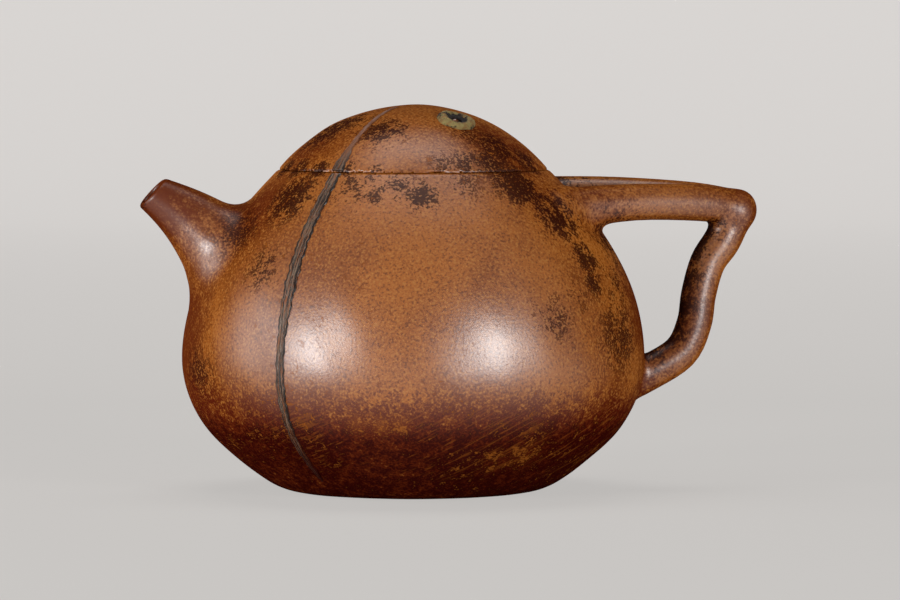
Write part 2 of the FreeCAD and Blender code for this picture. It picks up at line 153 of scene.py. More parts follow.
def arc(start, end, sag, steps=24):
    """Points from start to end on a circular arc that swells to the right of the way by sag."""
    start, end = np.array(start, float), np.array(end, float)
    chord = end - start
    span = np.hypot(*chord)
    radius = (span ** 2 / 4 + sag ** 2) / (2 * sag)
    right = np.array([chord[1], -chord[0]]) / span
    centre = (start + end) / 2 - right * (radius - sag)
    half = math.asin(span / 2 / radius)
    swing = np.linspace(-half, half, steps)[:, None]
    return centre + radius * (np.cos(swing) * right + np.sin(swing) * chord / span)


FOOT = 31.5
CHEST = BELLY - 4.5
CHEST_Z = BELLY_Z + 20.0
MOUTH = LID + 0.4
OUTER = np.vstack([
    arc((FOOT, 0), (HIP, HIP_Z), 0.6),
    arc((HIP, HIP_Z), (BELLY, BELLY_Z), 2.19)[1:],
    arc((BELLY, BELLY_Z), (CHEST, CHEST_Z), 1.14)[1:],
    arc((CHEST, CHEST_Z), (COLLAR, COLLAR_Z), 0.67)[1:],
    arc((COLLAR, COLLAR_Z), (MOUTH, SEAM_Z), 0.1)[1:],
])


def smooth_line(points, samples=900, width=45):
    """Heights, radius and slope of a line, with its joins eased by a moving mean."""
    heights = np.linspace(points[0, 1], points[-1, 1], samples)
    radius = np.interp(heights, points[:, 1], points[:, 0])
    before = 2 * radius[0] - radius[width:0:-1]
    after = 2 * radius[-1] - radius[-2:-width - 2:-1]
    kernel = np.hanning(2 * width + 1)
    padded = np.concatenate([before, radius, after])
    radius = np.convolve(padded, kernel / kernel.sum(), mode="same")[width:-width]
    return heights, radius, np.gradient(radius, heights)


LINE_Z, LINE_R, LINE_SLOPE = smooth_line(OUTER)


def smooth_way(points, steps):
    """Chain through every given point: on each span a cubic whose slope at an end is half the step
    between the neighbours of that end."""
    points = np.array(points, float)
    padded = np.vstack([2 * points[0] - points[1], points, 2 * points[-1] - points[-2]])
    before, start, end, after = (padded[i:len(padded) - 3 + i] for i in range(4))
    t = np.linspace(0, 1, steps, endpoint=False)[:, None, None]
    cubic = (2 * start + (end - before) * t + (2 * before - 5 * start + 4 * end - after) * t ** 2
             + (3 * start - before - 3 * end + after) * t ** 3) / 2
    chain = cubic.transpose(1, 0, 2).reshape(-1, points.shape[1])
    return np.vstack([chain, points[-1:]])


# Solids as signed distances: negative inside, in millimetres

def soft_min(a, b, reach):
    """The lesser of two distances, with a fillet of a given reach where they are alike."""
    blend = np.maximum(reach - np.abs(a - b), 0) / reach
    return np.minimum(a, b) - blend ** 2 * reach / 4


def soft_max(a, b, reach):
    """The greater of two distances, with its corner eased over a given reach."""
    return -soft_min(-a, -b, reach)


def beaten(p):
    """Low waves left by the paddle, from the true line inwards: a sum of three sines of about 15, 22
    and 34 mm."""
    x, y, z = p[..., 0], p[..., 1], p[..., 2]
    waves = np.sin(0.42 * x + 0.17 * z + 1.0) * np.sin(0.38 * y - 0.11 * z)
    waves = waves + np.sin(0.29 * z + 0.21 * x - 0.13 * y + 2.0) + 0.8 * np.sin(0.185 * (x - y) + 0.11 * z)
    return (waves + 2.8) * bpy.context.scene.pot_sizes.beat * MM / 2


def pot_outside(p):
    """Distance from the pot's outer line: radius less the line's, times the cosine of its slope."""
    radius = np.hypot(p[..., 0], p[..., 1])
    line = np.interp(p[..., 2], LINE_Z, LINE_R)
    slope = np.interp(p[..., 2], LINE_Z, LINE_SLOPE)
    return (radius - line) / np.sqrt(1 + slope ** 2) + beaten(p)


def bar(p, way):
    """Distance from a round bar along a chain of points, each with its radius as the fourth number."""
    best = np.full(p.shape[:-1], 1e9)
    for start, end in zip(way[:-1], way[1:]):
        along = end[:3] - start[:3]
        share = np.clip(((p - start[:3]) @ along) / (along @ along), 0, 1)
        gap = np.linalg.norm(p - start[:3] - share[..., None] * along, axis=-1)
        best = np.minimum(best, gap - (start[3] + share * (end[3] - start[3])))
    return best


def gradient(field, points, step=0.02):
    """Slope of a field at points, by central differences."""
    slopes = [field(points + shift) - field(points - shift) for shift in np.eye(3) * step]
    return np.stack(slopes, axis=-1) / (2 * step)


def surface_nets(field, low, high, cell, rounds=6):
    """Closed skin where a field is nought: one point in every grid cell that the skin crosses,
    moved on to the skin along the field's slope, and a quad over every grid edge that it cuts."""
    axes = [np.arange(a, b + cell, cell) for a, b in zip(low, high)]
    inside = field(np.stack(np.meshgrid(*axes, indexing="ij"), axis=-1)) < 0
    spans = [slice(None, -1), slice(1, None)]
    count = sum(inside[spans[i], spans[j], spans[k]].astype(np.int8)
                for i, j, k in itertools.product((0, 1), repeat=3))
    crossed = (count > 0) & (count < 8)
    number = np.full(crossed.shape, -1)
    number[crossed] = np.arange(crossed.sum())
    points = np.array(low) + (np.argwhere(crossed) + 0.5) * cell
    for turn in range(rounds):
        value, slope = field(points), gradient(field, points)
        move = slope * (value / np.maximum((slope ** 2).sum(-1), 0.05))[:, None]
        points = points - np.clip(move, -0.6 * cell, 0.6 * cell)
    quads = []
    for axis in range(3):
        u, v = (axis + 1) % 3, (axis + 2) % 3
        first, second = [slice(None)] * 3, [slice(None)] * 3
        first[axis], second[axis] = spans
        starts = inside[tuple(first)]
        cut = np.argwhere(starts != inside[tuple(second)])
        last = np.array(inside.shape) - 1
        cut = cut[(cut[:, u] > 0) & (cut[:, v] > 0) & (cut[:, u] < last[u]) & (cut[:, v] < last[v])]
        ring = []
        for du, dv in ((-1, -1), (0, -1), (0, 0), (-1, 0)):
            corner = cut.copy()
            corner[:, u] += du
            corner[:, v] += dv
            ring.append(number[tuple(corner.T)])
        ring = np.stack(ring, axis=-1)
        leaving = starts[tuple(cut.T)]
        quads.append(np.where(leaving[:, None], ring, ring[:, ::-1]))
    return points, np.vstack(quads)


def add_piece(name, points, faces, material, body, replaced):
    """Mesh object in metres at the origin, riding on a body in place of frame nodes."""
    mesh = bpy.data.meshes.new(name)
    mesh.from_pydata((points / MM).tolist(), [], faces)
    mesh.polygons.foreach_set("use_smooth", np.ones(len(mesh.polygons), bool))
    mesh.materials.append(material)
    piece = bpy.data.objects.new(name, mesh)
    bpy.context.scene.collection.objects.link(piece)
    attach(piece, body)
    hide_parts(*replaced)
    return mesh


def add_skin(name, field, low, high, cell, material, body, replaced):
    """Skin of a field as a piece, with normals from the field's slope."""
    points, quads = surface_nets(field, low, high, cell * MM)
    slope = gradient(field, points)
    normals = slope / np.maximum(np.linalg.norm(slope, axis=-1, keepdims=True), 1e-6)
    mesh = add_piece(name, points, quads.tolist(), material, body, replaced)
    mesh.normals_split_custom_set_from_vertices(normals.tolist())


# Materials

TIMES = {"operation": "MULTIPLY"}
TIMES_PLUS = {"operation": "MULTIPLY_ADD"}
MOST = {"operation": "MAXIMUM"}
FAR = {"operation": "DISTANCE"}
ALONG = {"operation": "DOT_PRODUCT"}
EASE = {"interpolation_type": "SMOOTHSTEP"}
TINT = {"data_type": "RGBA"}


def node(tree, kind, settings=None, inputs=None, out=0):
    """Add a node and give back one of its outputs.  Settings are its own properties; inputs are its
    sockets by name or number, each a value or the socket that feeds it."""
    made = tree.nodes.new(kind)
    for key, value in (settings or {}).items():
        setattr(made, key, value)
    for key, value in (inputs or {}).items():
        if isinstance(value, bpy.types.NodeSocket):
            tree.links.new(value, made.inputs[key])
        else:
            made.inputs[key].default_value = value
    return made.outputs[out] if made.outputs else made


def new_material(name):
    """Empty material, and a way to add nodes to it."""
    material = bpy.data.materials.new(name)
    material.use_nodes = True
    material.node_tree.nodes.clear()
    return material, partial(node, material.node_tree)


def on_pot(turn, height):
    """Point on the pot or lid, by direction in degrees from +X and height in millimetres."""
    if height <= SEAM_Z:
        radius = float(np.interp(height, LINE_Z, LINE_R))
    else:
        radius = LID * math.sqrt(max(0.0, (LID_TOP_Z - height) / (LID_TOP_Z - SEAM_Z)))
    angle = math.radians(turn)
    return np.array([radius * math.cos(angle), radius * math.sin(angle), height])


def marks():
    """Marks, each a middle and radius in millimetres and a strength: a brown film where hands have rubbed
    the pot and painted shade on its left and right sides, dark tea-stained places where tea ran and
    gathered and painted shade low on the right and along the handle's lower arm, pale places where the
    tea's colour is rubbed through."""
    patina_and_shade = [
        # The patches at -9 and -185 degrees are painted shade on the pot's right and left sides, where it
        # turns away from the camera
        (on_pot(-9, 42), 23, 1.2), (on_pot(-18, 68), 18, 0.8), (on_pot(-46, 70), 14, 0.75),
        (on_pot(-185, 36), 26, 1.05), (on_pot(-166, 67), 16, 0.8), (on_pot(-44, 82), 17, 0.8),
        (on_pot(-165, 83), 15, 0.65), (on_pot(60, 50), 40, 0.8), (on_pot(130, 44), 36, 0.75),
        (on_pot(90, 84), 26, 0.7), (SPOUT_TIP, 20, 1.2), (SPOUT_ROOT + SPOUT_WAY * 8, 13, 0.8),
        (NOSE[:3], 15, 0.65), (LOWER_WAY[18, :3], 16, 0.5), (LOWER_WAY[28, :3], 12, 0.45)]
    stain_and_shade = [
        (on_pot(-56, 74), 9, 1.0), (on_pot(-45, 67), 10, 1.0), (on_pot(-42, 57), 7, 0.9),
        (on_pot(-44, 51), 4, 0.9), (on_pot(-37, 39), 12, 0.6), (on_pot(-62, 43), 8, 0.45),
        (on_pot(-97, 72), 6, 0.95), (on_pot(-114, 73), 7, 0.7), (on_pot(-123, 74), 7, 0.75),
        (on_pot(-106, 74), 6, 0.65), (on_pot(-172, 77.4), 4, 0.85), (on_pot(-158, 77.4), 4, 0.85),
        (on_pot(-144, 77.4), 4, 0.9), (on_pot(-130, 77.4), 4, 0.8), (on_pot(-116, 77.4), 3, 0.7),
        (on_pot(-148, 71), 9, 0.95), (on_pot(-80, 74.5), 6, 0.45), (on_pot(-52, 48), 7, 0.3),
        (on_pot(-32, 50), 9, 0.5), (on_pot(-145, 55), 7, 0.6), (on_pot(-167, 26), 12, 0.7),
        (on_pot(-165, 63), 9, 0.6),
        (on_pot(-52, 82), 8, 0.8), (on_pot(-64, 85), 6, 0.5), (on_pot(-38, 79), 6, 0.8),
        (on_pot(-86, 78.6), 5, 0.5), (on_pot(-74, 79), 6, 0.7), (on_pot(-62, 79), 6, 0.8),
        (on_pot(-171, 86), 10, 1.0), (on_pot(-160, 88), 8, 0.8), (on_pot(-119, 86), 8, 0.8),
        (on_pot(-20, 60), 12, 0.7), (on_pot(20, 70), 15, 0.8), (on_pot(60, 58), 16, 0.7),
        (on_pot(110, 68), 13, 0.7), (on_pot(150, 45), 16, 0.7), (on_pot(80, 86), 11, 0.7),
        # The patch at -36 degrees, 15 mm up, is painted shade low on the pot's right side
        (on_pot(35, 36), 12, 0.6), (on_pot(-36, 15), 13, 0.9), (SPOUT_TIP - SPOUT_SIDE * 4, 6, 0.6),
        # Painted shade along the inner side of the handle's lower arm
        *[(LOWER_WAY[i, :3] + INNER_SHADE, 7, 1.1) for i in (3, 8, 13, 18, 23, 27)]]
    rubbed = [
        (on_pot(-114, 19), 4, 0.75), (on_pot(-108, 18.5), 4, 0.85), (on_pot(-103, 19), 4, 0.7),
        (on_pot(-74, 10), 6, 0.5), (on_pot(-65, 11), 7, 0.65), (on_pot(60, 15), 9, 0.8),
        (on_pot(150, 12), 9, 0.7)]
    return patina_and_shade, stain_and_shade, rubbed


# Shares of a patch's radius up to which it is full, and from which it is gone
PATCH_CORE, PATCH_EDGE = 0.1, 1.3


def patches(add, place, spots):
    """Greatest of several round patches, each full at its middle and nought past its edge."""
    most = 0.0
    for middle, radius, strength in spots:
        away = add("ShaderNodeVectorMath", FAR, {0: place, 1: tuple(middle / MM)}, "Value")
        near = add("ShaderNodeMapRange", EASE,
                   {0: away, 1: PATCH_EDGE * radius / MM, 2: PATCH_CORE * radius / MM, 4: strength})
        most = add("ShaderNodeMath", MOST, {0: near, 1: most})
    return most


def burnished_clay():
    """Unglazed stoneware clay, beaten and burnished: satin where hands have rubbed it, full of grit, with
    tea-stained granular blotches, painted shade on its sides and along the handle's lower arm, dark
    red-brown to black towards the foot, partly stained and partly painted shade there, and worn streaks."""
    colours = bpy.context.scene.clay_colours
    material, add = new_material("burnished_stoneware_clay")
    place = add("ShaderNodeTexCoord", out="Object")
    height = add("ShaderNodeSeparateXYZ", None, {0: place}, "Z")
    patina_and_shade, stain_and_shade, rubbed = marks()
    cloud, flecks, grit = (
        add("ShaderNodeTexNoise", None,
            {"Vector": place, "Scale": MM / size, "Detail": detail, "Roughness": 0.62}, "Fac")
        for size, detail in ((24, 5.0), (2.6, 5.0), (0.6, 2.0)))

    # Zero-mean raggedness that breaks up every edge
    ragged = add("ShaderNodeMath", TIMES_PLUS, {0: cloud, 1: 1.5, 2: -3.0})
    ragged = add("ShaderNodeMath", TIMES_PLUS, {0: flecks, 1: 2.5, 2: ragged})
    ragged = add("ShaderNodeMath", TIMES_PLUS, {0: grit, 1: 2.0, 2: ragged})

    # Clay with its grit
    dull = add("ShaderNodeMapRange", EASE, {0: cloud, 1: 0.38, 2: 0.64})
    paint = add("ShaderNodeMix", TINT, {0: dull, 6: colours.tan, 7: colours.umber}, 2)
    dark_grit = add("ShaderNodeMapRange", EASE, {0: grit, 1: 0.52, 2: 0.67, 4: 0.6})
    paint = add("ShaderNodeMix", TINT, {0: dark_grit, 6: paint, 7: colours.speck}, 2)
    pale_grit = add("ShaderNodeMapRange", EASE, {0: grit, 1: 0.48, 2: 0.34, 4: 0.75})
    paint = add("ShaderNodeMix", TINT, {0: pale_grit, 6: paint, 7: colours.buff}, 2)

    # Patina and painted shade in wide soft areas, tea stain and painted shade in ragged ones
    handled_and_shaded = add("ShaderNodeMath", TIMES_PLUS, {0: ragged, 1: 0.55, 2: patches(add, place, patina_and_shade)})
    handled_and_shaded = add("ShaderNodeMapRange", EASE, {0: handled_and_shaded, 1: 0.1, 2: 0.95, 4: 0.9})
    paint = add("ShaderNodeMix", TINT, {0: handled_and_shaded, 6: paint, 7: colours.patina_and_shade}, 2)
    pooled_and_shaded = add("ShaderNodeMath", None, {0: patches(add, place, stain_and_shade), 1: ragged})
    pooled_and_shaded = add("ShaderNodeMapRange", EASE, {0: pooled_and_shaded, 1: 0.36, 2: 0.85, 4: 0.92})
    paint = add("ShaderNodeMix", TINT, {0: pooled_and_shaded, 6: paint, 7: colours.chestnut_and_shade}, 2)

    # Lower belly, darker towards the foot, partly stain and partly painted shade near the floor: depth runs
    # from 0 at 31 mm to 1 at 15 mm
    depth = add("ShaderNodeMapRange", None, {0: height, 1: 0.031, 2: 0.015})
    depth = add("ShaderNodeMath", TIMES_PLUS, {0: ragged, 1: 0.6, 2: depth})
    low = add("ShaderNodeMapRange", EASE, {0: depth, 1: 0.12, 2: 0.70, 4: 0.95})
    paint = add("ShaderNodeMix", TINT, {0: low, 6: paint, 7: colours.russet_and_shade}, 2)
    foot = add("ShaderNodeMapRange", EASE, {0: depth, 1: 0.6, 2: 1.1})
    paint = add("ShaderNodeMix", TINT, {0: foot, 6: paint, 7: colours.soot_and_shade}, 2)

    # Places where the stain is rubbed through, grain by grain, and thin slanting scratches
    thin = add("ShaderNodeMath", TIMES_PLUS, {0: ragged, 1: 1.3, 2: patches(add, place, rubbed)})
    thin = add("ShaderNodeMapRange", EASE, {0: thin, 1: 0.45, 2: 1.1, 4: 0.75})
    paint = add("ShaderNodeMix", TINT, {0: thin, 6: paint, 7: colours.tan}, 2)
    slanted = add("ShaderNodeMapping", {"vector_type": "TEXTURE"},
                  {0: place, "Rotation": (0.0, -0.5, 0.0), "Scale": (24.0, 6.0, 1.0)})
    scratch = add("ShaderNodeTexNoise", None,
                  {"Vector": slanted, "Scale": MM / 0.5, "Detail": 2.0, "Roughness": 0.6}, "Fac")
    scratch = add("ShaderNodeMath", TIMES_PLUS, {0: cloud, 1: 0.5, 2: scratch})
    scratch = add("ShaderNodeMapRange", EASE, {0: scratch, 1: 0.82, 2: 0.96, 4: 0.5})
    band = add("ShaderNodeMapRange", EASE, {0: height, 1: 0.032, 2: 0.024})
    heel = add("ShaderNodeMapRange", EASE, {0: height, 1: 0.003, 2: 0.010})
    scratch = add("ShaderNodeMath", TIMES, {0: scratch, 1: band})
    scratch = add("ShaderNodeMath", TIMES, {0: scratch, 1: heel})
    paint = add("ShaderNodeMix", TINT, {0: scratch, 6: paint, 7: colours.umber}, 2)

    # Wax of handling as a coat over the dry clay: thinner towards the foot, on browned and tea-stained
    # places and on the painted shade, and dull at a glancing angle
    wax = add("ShaderNodeMapRange", EASE, {0: height, 1: 0.014, 2: 0.034, 3: 0.04, 4: 0.62})
    facing = add("ShaderNodeLayerWeight", None, {"Blend": 0.5}, "Facing")
    facing = add("ShaderNodeMapRange", EASE, {0: facing, 1: 0.55, 2: 0.15, 3: 0.06})
    wax = add("ShaderNodeMath", TIMES, {0: wax, 1: facing})
    covered = add("ShaderNodeMath", MOST, {0: handled_and_shaded, 1: pooled_and_shaded})
    covered = add("ShaderNodeMapRange", None, {0: covered, 3: 1.0, 4: 0.4})
    wax = add("ShaderNodeMath", TIMES, {0: wax, 1: covered})
    rough = add("ShaderNodeMapRange", None, {0: flecks, 1: 0.3, 2: 0.7, 3: 0.42, 4: 0.58})
    bump = add("ShaderNodeBump", None, {"Strength": 0.12, "Distance": 0.0003, "Height": grit})
    shader = add("ShaderNodeBsdfPrincipled", None,
                 {"Base Color": paint, "Roughness": rough, "Specular IOR Level": 0.0, "Normal": bump,
                  "Coat Weight": wax, "Coat Roughness": 0.38, "Coat IOR": 2.6, "Coat Normal": bump})
    add("ShaderNodeOutputMaterial", None, {"Surface": shader})
    return material


def laid_clay():
    """Grey-green clay laid on in thin strands and pressed flat, with grime and painted shade between them
    and along both
    sides, browner on the lid, dark and matt towards the foot, partly stained and partly painted shade
    there.  The strands follow the strip's own map:
    U across, V along."""
    colours = bpy.context.scene.clay_colours
    material, add = new_material("laid_green_clay")
    place = add("ShaderNodeTexCoord", out="Object")
    strand_map = add("ShaderNodeUVMap", {"uv_map": "strand"})
    grain = add("ShaderNodeTexNoise", None,
                {"Vector": place, "Scale": MM / 0.6, "Detail": 3.0, "Roughness": 0.7}, "Fac")
    strands, glints = (
        add("ShaderNodeTexNoise", None,
            {"Vector": add("ShaderNodeMapping", None,
                           {0: strand_map, "Location": (0.0, offset, 0.0), "Scale": (11.0, MM / run, 1.0)}),
             "Scale": 1.0, "Detail": 4.0, "Roughness": 0.65}, "Fac")
        for offset, run in ((0.0, 9.0), (40.0, 4.0)))
    across = add("ShaderNodeSeparateXYZ", None, {0: strand_map}, "X")
    # Painted shade along both sides of the strip
    side = add("ShaderNodeMath", {"operation": "PINGPONG"}, {0: across, 1: 0.5})
    side = add("ShaderNodeMapRange", EASE, {0: side, 1: 0.0, 2: 0.22, 3: -0.12, 4: 0.02})
    crown = add("ShaderNodeMath", None, {0: strands, 1: side})
    crown = add("ShaderNodeMath", TIMES_PLUS, {0: grain, 1: 0.25, 2: crown})
    crown = add("ShaderNodeMapRange", EASE, {0: crown, 1: 0.58, 2: 0.68})
    copper = add("ShaderNodeMapRange", EASE, {0: glints, 1: 0.47, 2: 0.59})
    height = add("ShaderNodeSeparateXYZ", None, {0: place}, "Z")
    upper = add("ShaderNodeMapRange", EASE, {0: height, 1: 0.078, 2: 0.084, 4: 0.8})
    copper = add("ShaderNodeMath", MOST, {0: copper, 1: upper})
    crown = add("ShaderNodeMath", MOST, {0: crown, 1: upper})
    paint = add("ShaderNodeMix", TINT, {0: copper, 6: colours.vein, 7: colours.umber}, 2)
    # Grime and painted shade where the crown is low: between the strands and along the sides
    paint = add("ShaderNodeMix", TINT, {0: crown, 6: colours.dirt_and_shade, 7: paint}, 2)
    # Darker towards the foot: partly stained, partly painted shade near the floor
    low = add("ShaderNodeMapRange", EASE, {0: height, 1: 0.024, 2: 0.006, 4: 0.85})
    paint = add("ShaderNodeMix", TINT, {0: low, 6: paint, 7: colours.soot_and_shade}, 2)
    gloss = add("ShaderNodeMapRange", EASE, {0: height, 1: 0.010, 2: 0.034, 3: 0.02, 4: 0.6})
    bump = add("ShaderNodeBump", None, {"Strength": 0.5, "Distance": 0.0003, "Height": crown})
    shader = add("ShaderNodeBsdfPrincipled", None,
                 {"Base Color": paint, "Roughness": 0.4, "Specular IOR Level": gloss, "Normal": bump})
    add("ShaderNodeOutputMaterial", None, {"Surface": shader})
    return material


def broken_clay():
    """Raw broken buff clay: matt and grainy, pale on its ragged rim, dark with grime and painted shade in
    its hollow.
    """
    colours = bpy.context.scene.clay_colours
    material, add = new_material("broken_buff_clay")
    place = add("ShaderNodeTexCoord", out="Object")
    grain, dirt_and_shade = (
        add("ShaderNodeTexNoise", None,
            {"Vector": place, "Scale": MM / size, "Detail": 4.0, "Roughness": 0.7}, "Fac")
        for size in (1.1, 3.2))
    middle = add("ShaderNodeVectorMath", FAR, {0: place, 1: tuple(STUB_TOP / MM)}, "Value")
    # Painted shade in the hollow round the vent
    hollow = add("ShaderNodeMapRange", None, {0: middle, 1: 0.0034, 2: 0.0012, 4: 0.25})
    dirt_and_shade = add("ShaderNodeMath", None, {0: dirt_and_shade, 1: hollow})
    dirt_and_shade = add("ShaderNodeMapRange", EASE, {0: dirt_and_shade, 1: 0.48, 2: 0.62})
    grainy = add("ShaderNodeMapRange", EASE, {0: grain, 1: 0.43, 2: 0.58, 4: 0.5})
    paint = add("ShaderNodeMix", TINT, {0: grainy, 6: colours.stem, 7: colours.umber}, 2)
    paint = add("ShaderNodeMix", TINT, {0: dirt_and_shade, 6: paint, 7: colours.dirt_and_shade}, 2)
    bump = add("ShaderNodeBump", None, {"Strength": 0.8, "Distance": 0.0012, "Height": grain})
    shader = add("ShaderNodeBsdfPrincipled", None,
                 {"Base Color": paint, "Roughness": 0.75, "IOR": 1.5, "Normal": bump})
    add("ShaderNodeOutputMaterial", None, {"Surface": shader})
    return material


def backdrop_paper():
    """Matt backdrop paper, paler farther back: shows mostly its own colour to the camera and in gloss,
    so that it stays evenly pale, and is lit and shaded like any paper for the rest."""
    colours, settings = bpy.context.scene.clay_colours, bpy.context.scene.stage_settings
    material, add = new_material("matt_backdrop_paper")
    place = add("ShaderNodeTexCoord", out="Object")
    depth = add("ShaderNodeVectorMath", ALONG, {0: place, 1: view_ways()[0]}, "Value")
    far = add("ShaderNodeMapRange", None, {0: depth, 1: 0.3, 2: 2.6})
    tint = add("ShaderNodeMix", TINT, {0: far, 6: colours.paper, 7: colours.far_paper}, 2)
    lit = add("ShaderNodeBsdfDiffuse", None, {"Color": tint})
    own = add("ShaderNodeEmission", None, {"Color": tint})
    seen = add("ShaderNodeLightPath", None, None, "Is Camera Ray")
    for ray in ("Is Glossy Ray", "Is Transmission Ray"):
        seen = add("ShaderNodeMath", MOST, {0: seen, 1: add("ShaderNodeLightPath", None, None, ray)})
    share = add("ShaderNodeMath", TIMES, {0: seen, 1: settings.glow})
    both = add("ShaderNodeMixShader", None, {0: share, 1: lit, 2: own})
    add("ShaderNodeOutputMaterial", None, {"Surface": both})
    return material


def clay():
    """The pot's clay, made once."""
    return bpy.data.materials.get("burnished_stoneware_clay") or burnished_clay()


# Forms of the pieces

SPOUT_LIFT = math.radians(37.8)
SPOUT_WAY = np.array([-math.cos(SPOUT_LIFT), 0, math.sin(SPOUT_LIFT)])
SPOUT_SIDE = np.array([math.sin(SPOUT_LIFT), 0, math.cos(SPOUT_LIFT)])
SPOUT_ROOT = np.array([-(CHEST - 3.0), 0, CHEST_Z + 7.4])
SPOUT_LENGTH = 20.0
SPOUT_TIP = SPOUT_ROOT + SPOUT_WAY * (SPOUT_LENGTH - 0.4)
RIM_LIFT = SPOUT_LIFT + math.radians(5)
RIM_WAY = np.array([-math.cos(RIM_LIFT), 0, math.sin(RIM_LIFT)])
TIP_RADIUS = 4.35
# How the cone widens from the tip back, by the distance and by its square
FLARE, SWELL = 0.215, 0.0035
# Rise of the axis at the tip, and of its bow halfway
TIP_RISE, BOW_RISE = 0.5, 0.9
BORE, BORE_ROOT = 2.9, 8.0
# Strainer: radius of a hole, of the ring of holes, and half their length
HOLE, HOLE_RING, HOLE_REACH = 1.8, 5.2, 14
# Skirts run into the wall: outer face just under the belly's skin, and how far they reach in
DIP = 0.06
SKIRT = 1.5


def along_spout(p):
    """Distance along the spout's axis from its root, and out from that axis, which bows up a little."""
    away = p - SPOUT_ROOT
    along = away @ SPOUT_WAY
    share = np.clip(along / SPOUT_LENGTH, 0, 1)
    bow = TIP_RISE * share + BOW_RISE * np.sin(math.pi * share)
    axis = along[..., None] * SPOUT_WAY + bow[..., None] * SPOUT_SIDE
    return along, np.linalg.norm(away - axis, axis=-1)


def spout_field(p):
    """Spout: a cone that widens faster towards its root, filleted on to the belly, cut at the rim and
    bored through.  Its skirt ends just under the belly's skin."""
    lute = bpy.context.scene.pot_sizes.lute * MM
    along, out = along_spout(p)
    back = np.clip(SPOUT_LENGTH - along, -2, 26)
    cone = (out - TIP_RADIUS - FLARE * back - SWELL * back ** 2) * 0.95
    belly = pot_outside(p)
    solid = soft_min(cone, belly + DIP, lute)
    solid = soft_max(solid, (p - SPOUT_TIP) @ RIM_WAY, 0.9)
    bore = out - np.interp(along, [-4, 14, SPOUT_LENGTH], [BORE_ROOT, BORE, BORE])
    solid = soft_max(solid, -bore, 0.8)
    solid = np.maximum(solid, -belly - SKIRT)
    return np.maximum(solid, cone - lute)


def strainer(p):
    """Seven holes along the spout's axis through the wall: one in the middle and six around it."""
    away = p - SPOUT_ROOT
    side, up = away[..., 1], away @ SPOUT_SIDE
    turn = np.round(np.arctan2(up, side) / (math.pi / 3)) * math.pi / 3
    ring = np.hypot(side - HOLE_RING * np.cos(turn), up - HOLE_RING * np.sin(turn))
    holes = np.minimum(np.hypot(side, up), ring) - HOLE
    return np.maximum(holes, np.abs(away @ SPOUT_WAY) - HOLE_REACH)


# Thickness of wall, floor and shoulder, width of the lid's seat, depth of the mouth's cut
WALL, FLOOR, SHOULDER = 2.6, 3.2, 3.0
SEAT_WIDTH, MOUTH_DEPTH = 4.6, 8
# Ball that hollows the foot: its radius, and how far its middle lies under the ground
DIMPLE, DIMPLE_DROP = 201.8, 200.6


def body_field(p):
    """The hollow body: the outer line, less the same line set in by the wall, the mouth, the hollow
    under the foot and the strainer."""
    outside = pot_outside(p)
    height = p[..., 2]
    radius = np.hypot(p[..., 0], p[..., 1])
    shell = soft_max(outside, -height, 2.4)
    shell = soft_max(shell, height - SEAM_Z, 0.7)
    hollow = np.maximum(outside + WALL, FLOOR - height)
    hollow = np.maximum(hollow, height - SEAM_Z + SHOULDER)
    mouth = np.maximum(radius - SEAT + SEAT_WIDTH, SEAM_Z - MOUTH_DEPTH - height)
    dimple = np.hypot(radius, height + DIMPLE_DROP) - DIMPLE
    solid = soft_max(shell, -np.minimum(hollow, mouth), 0.6)
    solid = soft_max(solid, -dimple, 1.0)
    return np.maximum(solid, -strainer(p))


FLIP = np.array([1, -1, 1])
NOSE_RADIUS = 4.76
ARM_TURN = math.radians(25)
ARM_ROOT = np.array([COLLAR * math.cos(ARM_TURN), -COLLAR * math.sin(ARM_TURN), COLLAR_Z, 0])
NOSE = np.array([NOSE_X - NOSE_RADIUS, 0, COLLAR_Z, 0])
# Upper arm: share of the way from root to nose, height above that line, radius
ARM_POINTS = [(-0.12, -1.8, 5.6), (0.0, -0.7, 5.0), (0.36, 0.4, 4.4), (0.76, -0.1, 4.4), (1.0, -1.5, 4.3)]


def arm_way(lift):
    """Chain of an upper arm, raised at its root by lift."""
    line = [ARM_ROOT + (NOSE - ARM_ROOT) * share + [0, 0, rise + lift * (1 - share), radius]
            for share, rise, radius in ARM_POINTS]
    return smooth_way(line, 4)


REAR_LIFT = 1.6
FRONT_WAY, REAR_WAY = arm_way(0.0), arm_way(REAR_LIFT)
# Lower arm: reach beyond the belly, height above its widest place, radius
LOWER_POINTS = [(23.2, 33.6, 4.4), (20.2, 27.4, 4.5), (16.6, 22.0, 4.3), (14.4, 14.4, 4.25),
                (13.3, 7.3, 4.25), (9.8, 0.3, 4.3), (1.0, -5.0, 4.4), (-5.1, -7.8, 4.4)]
LOWER_WAY = smooth_way([(BELLY + reach, 0, BELLY_Z + rise, radius)
                        for reach, rise, radius in LOWER_POINTS], 5)

# From the middle of the lower arm to its inner side, where painted shade darkens it
INNER_SHADE = np.array([-4.5, 0, 1.5])


def handle_field(p):
    """Fork: two mirrored bars that run together in the nose, and a third from there back to the belly,
    knitted to each other and luted to the pot."""
    sizes = bpy.context.scene.pot_sizes
    root, butt = sizes.root * MM, sizes.butt * MM
    pot = pot_outside(p)
    arms = soft_min(bar(p, FRONT_WAY), bar(p * FLIP, REAR_WAY), 0.8)
    lower = bar(p, LOWER_WAY)
    solid = soft_min(arms, lower, sizes.knit * MM)
    solid = np.minimum(solid, soft_min(arms, pot + DIP, root))
    solid = np.minimum(solid, soft_min(lower, pot + DIP, butt))
    solid = np.maximum(np.maximum(solid, -pot - SKIRT), p[..., 2] - SEAM_Z)
    return np.maximum(solid, np.minimum(arms - root, lower - butt))


